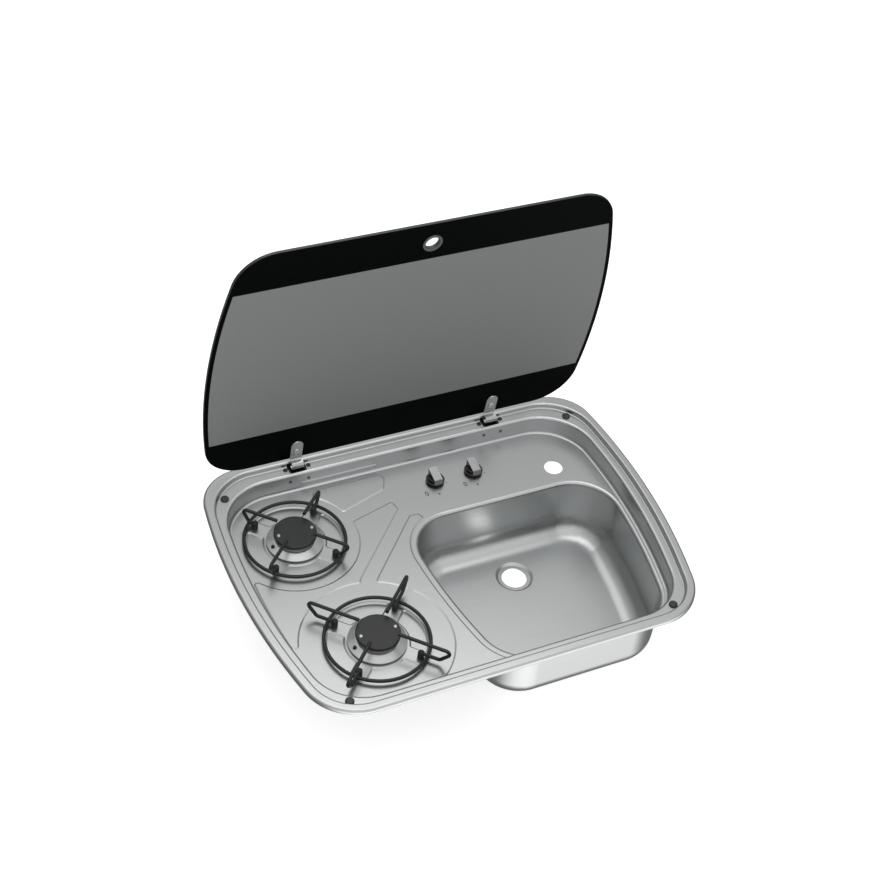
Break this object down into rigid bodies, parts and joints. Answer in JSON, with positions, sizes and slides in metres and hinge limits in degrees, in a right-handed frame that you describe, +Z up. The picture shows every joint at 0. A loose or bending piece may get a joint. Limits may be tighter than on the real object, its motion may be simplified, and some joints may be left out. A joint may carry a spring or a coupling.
{
  "type": "hob and sink combo",
  "caption": "Drop-in steel hob and sink with gas burners, wire pan supports, push-and-turn knobs, a round-cornered bowl with tap and drain holes, and a hinged glass lid.",
  "frame": {"origin": "centre of the worktop cut-out, in the plane of the worktop surface that the rim seal sits on", "axes": "+X to the user's right along the long side, +Y to the back where the lid is hinged, +Z up"},
  "size_m": [0.6, 0.442, 0.5462],
  "materials": {
    "stainless_satin": "satin rolled stainless sheet",
    "steel_bright": "bright turned steel",
    "steel_dark": "black-plated steel",
    "seal_black": "black extruded rubber",
    "glass_printed": "toughened glass with a black and grey print on its back",
    "grommet_grey": "moulded grey plastic",
    "pad_clear": "soft clear pad",
    "bumper_grey": "dark grey soft rubber",
    "enamel_black": "matt black vitreous enamel",
    "wire_black": "satin black coated wire",
    "foot_black": "black rubber",
    "aluminium_cast": "die-cast aluminium",
    "brass_turned": "turned brass",
    "probe_steel": "heat-darkened steel probe and copper lead",
    "knob_black": "gloss black moulded plastic",
    "rail_steel": "zinc-plated steel tube",
    "pipe_copper": "drawn copper tube"
  },
  "bodies": {
    "pan": {"pan": "stainless_satin", "burner_skirt_rear": "stainless_satin", "burner_skirt_front": "stainless_satin", "hinge_pin_left": "steel_bright", "hinge_pin_right": "steel_bright", "cap_screws": "steel_bright", "burner_screws": "steel_bright", "hinge_bracket_left": "steel_dark", "hinge_bracket_right": "steel_dark", "hinge_screws": "steel_dark", "hinge_rivets": "steel_dark", "rim_seal": "seal_black", "lid_bumpers": "bumper_grey", "burner_cap_rear": "enamel_black", "burner_cap_front": "enamel_black", "grate_rear": "wire_black", "grate_front": "wire_black", "grate_feet": "foot_black", "burner_head_rear": "aluminium_cast", "burner_head_front": "aluminium_cast", "burner_body_rear": "aluminium_cast", "burner_body_front": "aluminium_cast", "injector_rear": "brass_turned", "injector_front": "brass_turned", "valve_left": "brass_turned", "valve_right": "brass_turned", "valve_nuts": "brass_turned", "valve_closures": "brass_turned", "rail_bolts": "brass_turned", "pipe_nuts": "brass_turned", "thermocouple_rear": "probe_steel", "thermocouple_front": "probe_steel", "gas_rail": "rail_steel", "gas_inlet": "pipe_copper", "burner_pipe_rear": "pipe_copper", "burner_pipe_front": "pipe_copper"},
    "lid": {"glass_lid": "glass_printed", "lid_grommet": "grommet_grey", "lid_pads": "pad_clear", "lid_screws": "steel_bright", "lid_cap_nuts": "steel_bright", "hinge_leaf_left": "stainless_satin", "hinge_leaf_right": "stainless_satin"},
    "push_left": {"thrust_disc_left": "brass_turned", "valve_spring_left": "steel_bright"},
    "turn_left": {"spindle_left": "brass_turned", "knob_left": "knob_black", "knob_blade_left": "stainless_satin"},
    "push_right": {"thrust_disc_right": "brass_turned", "valve_spring_right": "steel_bright"},
    "turn_right": {"spindle_right": "brass_turned", "knob_right": "knob_black", "knob_blade_right": "stainless_satin"}
  },
  "joints": [
    {"name": "lid_hinge", "type": "hinge", "parent": "pan", "child": "lid", "pos_m": [0, 0.2115, 0.0032], "axis": [1, 0, 0], "range_deg": [0, 81.4]},
    {"name": "knob_push_left", "type": "slide", "parent": "pan", "child": "push_left", "axis": [0, 0, -1], "range_m": [0, 0.003], "stiffness_N_per_m": 1200, "springref_m": -0.003, "deforming": ["valve_spring_left"]},
    {"name": "knob_turn_left", "type": "hinge", "parent": "push_left", "child": "turn_left", "pos_m": [0.0375, 0.142, -0.02], "axis": [0, 0, 1], "range_deg": [0, 210]},
    {"name": "knob_push_right", "type": "slide", "parent": "pan", "child": "push_right", "axis": [0, 0, -1], "range_m": [0, 0.003], "stiffness_N_per_m": 1200, "springref_m": -0.003, "deforming": ["valve_spring_right"]},
    {"name": "knob_turn_right", "type": "hinge", "parent": "push_right", "child": "turn_right", "pos_m": [0.097, 0.142, -0.02], "axis": [0, 0, 1], "range_deg": [0, 210]}
  ]
}
